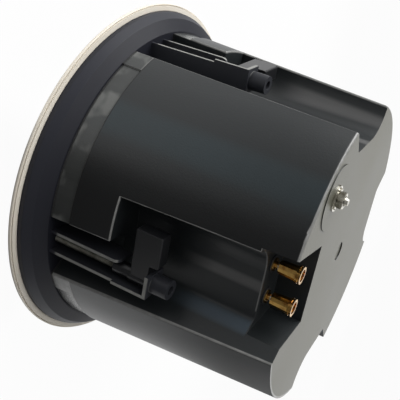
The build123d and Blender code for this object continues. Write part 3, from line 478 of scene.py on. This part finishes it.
def fibre(name, color, shade, scale, bump):
    """Cloth, foam or fibre: a soft rough surface with a visible texture."""
    finish = Finish(name, color, 0.9)
    weave = finish.noise(scale, 4, 0.65)
    finish.shade(Base_Color=finish.mix(finish.between(weave, 0.3, 0.7), (*shade, 1), (*color, 1)))
    finish.shade(Roughness=0.8 + weave * 0.15)
    finish.bump(weave, bump, 0.2 * MM)
    return finish


def plain_coat(name, color, shade, roughness, grain):
    """Inner piece with a coat that varies a little in tint, gloss and grain."""
    finish = Finish(name, color, roughness)
    cloud = finish.noise(90, 4)
    finish.shade(Base_Color=finish.mix(finish.between(cloud, 0.3, 0.7), (*color, 1), (*shade, 1)))
    finish.shade(Roughness=roughness - 0.05 + cloud * 0.12)
    finish.bump(finish.noise(grain, 3), 0.12, 0.05 * MM)
    return finish


def circuit_laminate():
    """Green board with copper tracks under the mask."""
    finish = Finish("circuit_laminate", (0.05, 0.16, 0.07), 0.35)
    tracks = finish.node(
        "ShaderNodeTexBrick",
        {"offset": 0.5},
        {"Vector": finish.place, "Scale": 70.0, "Mortar Size": 0.03},
        "Fac",
    )
    green = finish.mix(finish.noise(140, 3), (0.04, 0.14, 0.06, 1), (0.07, 0.2, 0.09, 1))
    finish.shade(Base_Color=finish.mix(tracks, green, (0.16, 0.3, 0.1, 1)))
    finish.shade(Roughness=0.3 + finish.noise(60, 2) * 0.15)
    finish.bump(tracks, 0.3, 0.05 * MM)
    return finish


def wound_copper():
    """Enamelled copper turns on the inductors."""
    finish = Finish("wound_copper", (0.62, 0.26, 0.1), 0.3, metallic=0.85)
    turns = finish.node(
        "ShaderNodeTexWave",
        {"wave_type": "RINGS", "rings_direction": "Z"},
        {"Vector": finish.place, "Scale": 420.0, "Distortion": 0.4},
        "Fac",
    )
    finish.shade(Base_Color=finish.mix(turns, (0.34, 0.11, 0.04, 1), (0.68, 0.3, 0.12, 1)))
    finish.shade(Roughness=0.26 + finish.noise(200, 2) * 0.14)
    finish.bump(turns, 0.5, 0.2 * MM)
    return finish


finishes = {
    "cream_paint": cream_coat("cream_paint", (0.80, 0.755, 0.68), 0.42, 900),
    "cream_plastic": cream_coat("cream_plastic", (0.79, 0.745, 0.67), 0.48, 1600),
    "black_plastic": moulded_black("black_plastic", (0.022, 0.023, 0.026), 0.38),
    "foam": fibre("foam", (0.05, 0.05, 0.05), (0.015, 0.015, 0.015), 1500, 0.5),
    "zinc_steel": plated("zinc_steel", (0.64, 0.62, 0.55), (0.24, 0.22, 0.17), 0.24, 0.16),
    "black_steel": plated("black_steel", (0.10, 0.10, 0.105), (0.05, 0.05, 0.05), 0.36, 0.12),
    "gilt_brass": plated("gilt_brass", (0.60, 0.37, 0.11), (0.32, 0.14, 0.035), 0.15, 0.1),
    "spring_steel": plated("spring_steel", (0.55, 0.55, 0.56), (0.4, 0.4, 0.4), 0.25, 0.1),
    "nickel": plated("nickel", (0.72, 0.71, 0.68), (0.6, 0.58, 0.53), 0.24, 0.08),
    "black_rubber": plain_coat("black_rubber", (0.025, 0.025, 0.027), (0.04, 0.04, 0.042), 0.62, 1800),
    "cone_poly": fibre("cone_poly", (0.10, 0.10, 0.11), (0.05, 0.05, 0.055), 700, 0.2),
    "spider_cloth": fibre("spider_cloth", (0.72, 0.52, 0.22), (0.45, 0.3, 0.1), 1400, 0.5),
    "coil_former": plated("coil_former", (0.75, 0.75, 0.76), (0.6, 0.6, 0.6), 0.3, 0.1),
    "ferrite": plain_coat("ferrite", (0.10, 0.10, 0.105), (0.06, 0.06, 0.065), 0.7, 1300),
    "basket_metal": plain_coat("basket_metal", (0.05, 0.05, 0.055), (0.08, 0.08, 0.085), 0.5, 900),
    "silk": fibre("silk", (0.08, 0.08, 0.085), (0.05, 0.05, 0.05), 2600, 0.3),
    "circuit_board": circuit_laminate(),
    "copper_wire": wound_copper(),
    "film_case": plain_coat("film_case", (0.10, 0.16, 0.36), (0.07, 0.11, 0.27), 0.25, 500),
    "white_ceramic": plain_coat("white_ceramic", (0.82, 0.81, 0.77), (0.7, 0.68, 0.62), 0.75, 1100),
    "wadding": fibre("wadding", (0.86, 0.86, 0.84), (0.62, 0.62, 0.6), 300, 0.8),
}

slot_of_node = {row["node"]: row["material_slot"] for row in frame["record"]["subparts"]}
for node_name, node in frame["nodes"].items():
    node.material_slots[0].material = finishes[slot_of_node[node_name]].material
frame["nodes"]["back_box"].material_slots[0].material = back_box_black().material
frame["nodes"]["chassis"].material_slots[0].material = chassis_black().material
# Darker copy of the zinc plating for the clamp screws: painted shade
shaded_screw_zinc = plated("shaded_screw_zinc", (0.30, 0.295, 0.26), (0.16, 0.155, 0.13), 0.34, 0.16)
clamp_black = moulded_black("clamp_black", (0.010, 0.0105, 0.012), 0.32)
for clamp in range(1, 5):
    frame["nodes"][f"dog_leg_{clamp}"].material_slots[0].material = clamp_black.material


def standing_for(node, shape, name, finish=None):
    """Turn a bmesh into a piece that stands for a node, in its slot's finish or its own."""
    mesh = bpy.data.meshes.new(name)
    shape.to_mesh(mesh)
    shape.free()
    mesh.set_sharp_from_angle(angle=SHARP_ANGLE)
    mesh.materials.append((finish or finishes[slot_of_node[node]]).material)
    piece = bpy.data.objects.new(name, mesh)
    bpy.context.scene.collection.objects.link(piece)
    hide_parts(node)
    return piece


def finished(shape, name, body, node, finish=None):
    """Piece that stands for a node and rides on its body."""
    piece = standing_for(node, shape, name, finish)
    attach(piece, body)
    return piece


def circle_edges(shape, radius, height, sides, turn=0.0):
    """Ring of edges about the local axis."""
    placing = Matrix.Translation((0, 0, height)) @ Matrix.Rotation(turn, 4, "Z")
    ring = bmesh.ops.create_circle(shape, radius=radius, segments=sides, matrix=placing)
    return list({edge for vert in ring["verts"] for edge in vert.link_edges})


def closed_up(shape):
    """Merge doubles of a closed shape and turn its faces outwards."""
    bmesh.ops.remove_doubles(shape, verts=shape.verts[:], dist=WELD)
    bmesh.ops.recalc_face_normals(shape, faces=shape.faces[:])
    return shape


def bridge_rings(shape, rings):
    """Close the stretch between each ring of edges and the next."""
    for first, second in zip(rings, rings[1:]):
        bmesh.ops.bridge_loops(shape, edges=first + second)


def copied(shape, geometry, shift):
    """Copy of part of a bmesh, moved by a shift."""
    copy = bmesh.ops.duplicate(shape, geom=geometry)["geom"]
    verts = [part for part in copy if isinstance(part, bmesh.types.BMVert)]
    bmesh.ops.translate(shape, verts=verts, vec=shift)
    return copy


def hole_cell(shape):
    """Six-sided cell of sheet with a round hole, whose own edges are marked as seams."""
    hole = circle_edges(shape, HOLE_RADIUS, 0, HOLE_SIDES)
    for edge in hole:
        edge.seam = True
    border = circle_edges(shape, HOLE_PITCH / 2 / cos(pi / 6), 0, HOLE_SIDES)
    shape.verts.index_update()
    corners = sorted({vert for edge in border for vert in edge.verts}, key=lambda vert: vert.index)
    bmesh.ops.scale(shape, verts=corners[1::2], vec=(cos(pi / 6), cos(pi / 6), 1))
    bridge_rings(shape, [hole, border])
    return shape.verts[:] + shape.edges[:] + shape.faces[:]


def hole_field(shape):
    """Staggered rows of hole cells inside the field's circle."""
    row = [(Vector(), hole_cell(shape))]
    for column in range(1, int(FIELD_RADIUS / HOLE_PITCH) + 1):
        for side in (-1, 1):
            spot = Vector((side * column * HOLE_PITCH, 0, 0))
            row.append((spot, copied(shape, row[0][1], spot)))
    row_step = HOLE_PITCH * cos(pi / 6)
    for line in range(1, int(FIELD_RADIUS / row_step) + 1):
        for side in (-1, 1):
            shift = Vector((line % 2 * HOLE_PITCH / 2, side * line * row_step, 0))
            inside = [part for spot, cell in row if (spot + shift).length < FIELD_RADIUS for part in cell]
            copied(shape, inside, shift)
    bmesh.ops.remove_doubles(shape, verts=shape.verts[:], dist=CELL_WELD)


def perforated_grille():
    """Steel pan with a field of round holes, a plain margin and a folded wall round its edge."""
    shape = bmesh.new()
    hole_field(shape)
    field_edge = [edge for edge in shape.edges if edge.is_boundary and not edge.seam]
    rim = circle_edges(shape, rim_radius, 0, RIM_SIDES, turn=-pi / 2)
    bmesh.ops.triangle_fill(shape, use_beauty=True, edges=field_edge + rim, normal=(0, 0, -1))
    wall = bmesh.ops.extrude_edge_only(shape, edges=rim)["geom"]
    wall_verts = [vert for vert in wall if isinstance(vert, bmesh.types.BMVert)]
    bmesh.ops.translate(shape, verts=wall_verts, vec=(0, 0, grille_back - floor_height))
    fold = [edge for edge in rim if edge.is_valid]
    bmesh.ops.bevel(
        shape, geom=fold, offset=GRILLE_FOLD_ROUND, segments=3, profile=0.5, affect="EDGES", material=-1
    )
    bmesh.ops.translate(shape, verts=shape.verts[:], vec=(0, 0, floor_height))
    bmesh.ops.recalc_face_normals(shape, faces=shape.faces[:])
    piece = finished(shape, "perforated_grille", "speaker", "grille")
    sheet = piece.modifiers.new("sheet", "SOLIDIFY")
    sheet.thickness = GRILLE_SHEET
    sheet.offset = -1


def thread(shape, radius, depth, pitch, start, end):
    """Helical thread on the local axis, closed at both ends."""
    outline = [
        shape.verts.new((radius - depth, 0, start)),
        shape.verts.new((radius, 0, start + pitch * CREST_START)),
        shape.verts.new((radius, 0, start + pitch * CREST_END)),
        shape.verts.new((radius - depth, 0, start + pitch)),
    ]
    edges = [shape.edges.new(pair) for pair in zip(outline, outline[1:])]
    turns = int((end - start) / pitch) - 1
    bmesh.ops.spin(
        shape,
        geom=outline + edges,
        cent=(0, 0, 0),
        axis=(0, 0, 1),
        dvec=(0, 0, pitch / THREAD_SIDES),
        angle=2 * pi * turns,
        steps=THREAD_SIDES * turns,
        use_merge=False,
    )
    bmesh.ops.remove_doubles(shape, verts=shape.verts[:], dist=WELD)
    bmesh.ops.holes_fill(shape, edges=[edge for edge in shape.edges if edge.is_boundary], sides=0)


def clamp_screw(number):
    """Long clamp screw: rounded pan head and a thread over its whole shank."""
    node = f"clamp_screw_{number}"
    low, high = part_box(node)
    middle = (low + high) / 2
    head_back = low.z + CLAMP_HEAD_HEIGHT
    head_middle = head_back - CLAMP_HEAD_HEIGHT / 2
    shape = bmesh.new()
    thread(shape, start=head_back - THREAD_SINK, end=high.z, **CLAMP_THREAD)
    head = bmesh.ops.create_cone(
        shape,
        cap_ends=True,
        segments=CLAMP_HEAD_SIDES,
        radius1=CLAMP_HEAD_RADIUS,
        radius2=CLAMP_HEAD_RADIUS,
        depth=CLAMP_HEAD_HEIGHT,
        matrix=Matrix.Translation((0, 0, head_middle)),
    )["verts"]
    edges = {edge for vert in head for edge in vert.link_edges}
    front = [edge for edge in edges if all(vert.co.z < head_middle for vert in edge.verts)]
    bmesh.ops.bevel(
        shape, geom=front, offset=CLAMP_HEAD_ROUND, segments=4, profile=0.5, affect="EDGES", material=-1
    )
    bmesh.ops.translate(shape, verts=shape.verts[:], vec=(middle.x, middle.y, 0))
    finished(closed_up(shape), f"threaded_clamp_screw_{number}", node, node, shaded_screw_zinc)


def hex_ring(shape, across, height, side):
    """Ring of edges round a hexagon, whose corners the chamfer moves in from an end: side 1 is the top."""
    edges = circle_edges(shape, across / 2, height, NUT_LOOP_SIDES)
    sixth = pi / 3
    for vert in {vert for edge in edges for vert in edge.verts}:
        angle = Vector((vert.co.x, vert.co.y)).angle_signed(Vector((1, 0)))
        reach = across / 2 / cos((angle % sixth) - sixth / 2)
        drop = (reach - across / 2) * tan(NUT_CHAMFER) * side
        vert.co = (reach * cos(angle), reach * sin(angle), height - drop)
    return edges


def anchor_nut():
    """Hexagon nut with chamfered corners and a countersunk bore."""
    shape = bmesh.new()
    height = nut_high.z - nut_low.z
    circle = NUT_ACROSS / 2 * NUT_ROUND_SHARE
    rings = [
        circle_edges(shape, NUT_BORE, 0, NUT_LOOP_SIDES),
        circle_edges(shape, circle, 0, NUT_LOOP_SIDES),
        hex_ring(shape, NUT_ACROSS, NUT_EDGE, -1),
        hex_ring(shape, NUT_ACROSS, height - NUT_EDGE, 1),
        circle_edges(shape, circle, height, NUT_LOOP_SIDES),
        circle_edges(shape, NUT_BORE * COUNTERSINK_SHARE, height, NUT_LOOP_SIDES),
        circle_edges(shape, NUT_BORE, height - COUNTERSINK_DEPTH, NUT_LOOP_SIDES),
    ]
    bridge_rings(shape, rings + rings[:1])
    bmesh.ops.translate(shape, verts=shape.verts[:], vec=(anchor_axis.x, anchor_axis.y, nut_low.z))
    finished(closed_up(shape), "chamfered_anchor_nut", "speaker", "anchor_nut")


def anchor_bolt():
    """Anchor stud: hexagon head inside the box and a thread out to a tapered tip."""
    shape = bmesh.new()
    head_back = stud_low.z + ANCHOR_HEAD_HEIGHT
    head_radius = NUT_ACROSS / 2 / cos(pi / 6)
    thread(shape, start=head_back - THREAD_SINK, end=stud_high.z - TIP_HEIGHT, **CLAMP_THREAD)
    bmesh.ops.create_cone(
        shape,
        cap_ends=True,
        segments=6,
        radius1=head_radius,
        radius2=head_radius,
        depth=ANCHOR_HEAD_HEIGHT,
        matrix=Matrix.Translation((0, 0, stud_low.z + ANCHOR_HEAD_HEIGHT / 2)),
    )
    bmesh.ops.create_cone(
        shape,
        cap_ends=True,
        segments=TIP_SIDES,
        radius1=TIP_BASE_RADIUS,
        radius2=TIP_END_RADIUS,
        depth=3 * TIP_HEIGHT,
        matrix=Matrix.Translation((0, 0, stud_high.z - 1.5 * TIP_HEIGHT)),
    )
    bmesh.ops.translate(shape, verts=shape.verts[:], vec=(anchor_axis.x, anchor_axis.y, 0))
    finished(closed_up(shape), "threaded_anchor_bolt", "speaker", "anchor_bolt")


def node_shape(node):
    """Copy of a node's mesh, to be cut or used whole."""
    shape = bmesh.new()
    shape.from_mesh(frame["nodes"][node].data)
    return closed_up(shape)


def pressed_spring(number):
    """Terminal spring, copied from its node into a piece of its own."""
    node = f"terminal_spring_{number}"
    piece = standing_for(node, node_shape(node), f"pressed_spring_{number}")
    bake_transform(piece)


def flexing_ring(node):
    """Soft ring cut into like sectors, each a piece of its own."""
    half_turn = pi / FLEX_SECTORS
    for sector in range(FLEX_SECTORS):
        shape = node_shape(node)
        middle = 2 * half_turn * sector
        for side in (-1, 1):
            cut = middle + side * half_turn
            outwards = Vector((-sin(cut), cos(cut), 0)) * side
            everything = shape.verts[:] + shape.edges[:] + shape.faces[:]
            bmesh.ops.bisect_plane(
                shape, geom=everything, plane_co=(0, 0, 0), plane_no=outwards, clear_outer=True
            )
        bmesh.ops.holes_fill(shape, edges=[edge for edge in shape.edges if edge.is_boundary])
        piece = standing_for(node, shape, f"flexing_{node}_{sector + 1}")
        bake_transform(piece)


perforated_grille()
for clamp in range(1, 5):
    clamp_screw(clamp)
anchor_nut()
anchor_bolt()
for terminal in (1, 2):
    pressed_spring(terminal)
flexing_ring("woofer_surround")
flexing_ring("spider")


def soft_panel(name, azimuth, elevation, distance, size, radiance):
    """Square soft light that faces the part, set by the radiance of its surface."""
    lamp = bpy.data.lights.new(name, "AREA")
    lamp.shape = "SQUARE"
    lamp.size = size
    lamp.energy = radiance * pi * size * size
    turn = radians(azimuth)
    level = cos(radians(elevation))
    direction = Vector((level * cos(turn), level * sin(turn), sin(radians(elevation))))
    light = bpy.data.objects.new(name, lamp)
    light.location = LIGHT_TARGET + direction * distance
    light.rotation_euler = direction.to_track_quat("Z", "Y").to_euler()
    bpy.context.scene.collection.objects.link(light)


def pale_floor():
    """Pale floor that the camera sees as near white, and glossy surfaces too where it is not in shade."""
    shape = bmesh.new()
    bmesh.ops.create_circle(shape, cap_ends=True, radius=FLOOR_RADIUS, segments=FLOOR_SIDES)
    bmesh.ops.translate(shape, verts=shape.verts[:], vec=(0, 0, floor_height - FLOOR_GAP))
    mesh = bpy.data.meshes.new("floor")
    shape.to_mesh(mesh)
    shape.free()
    finish = Finish("pale_floor", PALE_FLOOR, 0.9)
    outward = finish.node("ShaderNodeVectorMath", {"operation": "NORMALIZE"}, {0: finish.place})
    sockets = {0: outward, 1: SHADED_SIDE}
    facing_shade = finish.node("ShaderNodeVectorMath", {"operation": "DOT_PRODUCT"}, sockets, "Value")
    wedge = finish.between(facing_shade, cos(SHADE_END), cos(SHADE_START))
    distance = finish.node("ShaderNodeVectorMath", {"operation": "LENGTH"}, {0: finish.place}, "Value")
    far = finish.between(distance, PALE_REACH, PALE_END) * FAR_SHADE
    shade = 1 - (1 - wedge) * (1 - far)
    finish.shade(Base_Color=finish.mix(shade, (*PALE_FLOOR, 1), (*SHADED_FLOOR, 1)))
    straight = finish.node("ShaderNodeLightPath", output="Is Camera Ray")
    mirrored = finish.node("ShaderNodeLightPath", output="Is Glossy Ray")
    through = finish.node("ShaderNodeLightPath", output="Is Transmission Ray")
    seen = straight + (mirrored + through) * (1 - shade)
    white = finish.node("ShaderNodeEmission", {}, {"Color": (1, 1, 1, 1), "Strength": 1.0})
    shader = Value(finish, finish.shader.outputs[0])
    share = finish.node("ShaderNodeMixShader", {}, {0: seen * WHITE_SHARE, 1: shader, 2: white})
    finish.feed(finish.tree.nodes["Material Output"].inputs["Surface"], share)
    mesh.materials.append(finish.material)
    floor = bpy.data.objects.new("floor", mesh)
    bpy.context.scene.collection.objects.link(floor)


def studio():
    """Soft light from around the part, with a plain grey surround."""
    world = bpy.data.worlds.new("surround")
    world.use_nodes = True
    background = world.node_tree.nodes["Background"]
    background.inputs["Color"].default_value = (1.0, 1.0, 1.0, 1)
    background.inputs["Strength"].default_value = SURROUND_STRENGTH
    bpy.context.scene.world = world
    soft_panel("rear_panel", azimuth=106, elevation=20, distance=1.5, size=1.2, radiance=0.95)
    soft_panel("top_panel", azimuth=-120, elevation=62, distance=1.6, size=0.9, radiance=1.9)
    soft_panel("side_panel", azimuth=-164, elevation=26, distance=1.6, size=1.2, radiance=6.0)
    soft_panel("front_panel", azimuth=-130, elevation=34, distance=1.6, size=0.9, radiance=1.8)
    soft_panel("low_panel", azimuth=40, elevation=8, distance=1.5, size=1.0, radiance=1.0)


def fitted_camera():
    """Camera at the fitted place, with the roll and shift of the framing."""
    data = bpy.data.cameras.new("camera")
    data.sensor_width = CAMERA_SENSOR
    data.lens = CAMERA_LENS
    data.shift_x, data.shift_y = CAMERA_SHIFT
    data.clip_start, data.clip_end = CAMERA_CLIP
    camera = bpy.data.objects.new("camera", data)
    right = CAMERA_FORWARD.cross(CAMERA_UP)
    turn = Matrix((right, CAMERA_UP, -CAMERA_FORWARD)).transposed()
    camera.matrix_world = Matrix.Translation(CAMERA_PLACE) @ turn.to_4x4()
    bpy.context.scene.collection.objects.link(camera)
    bpy.context.scene.camera = camera


pale_floor()
studio()
fitted_camera()
bpy.context.scene.view_settings.view_transform = "Standard"
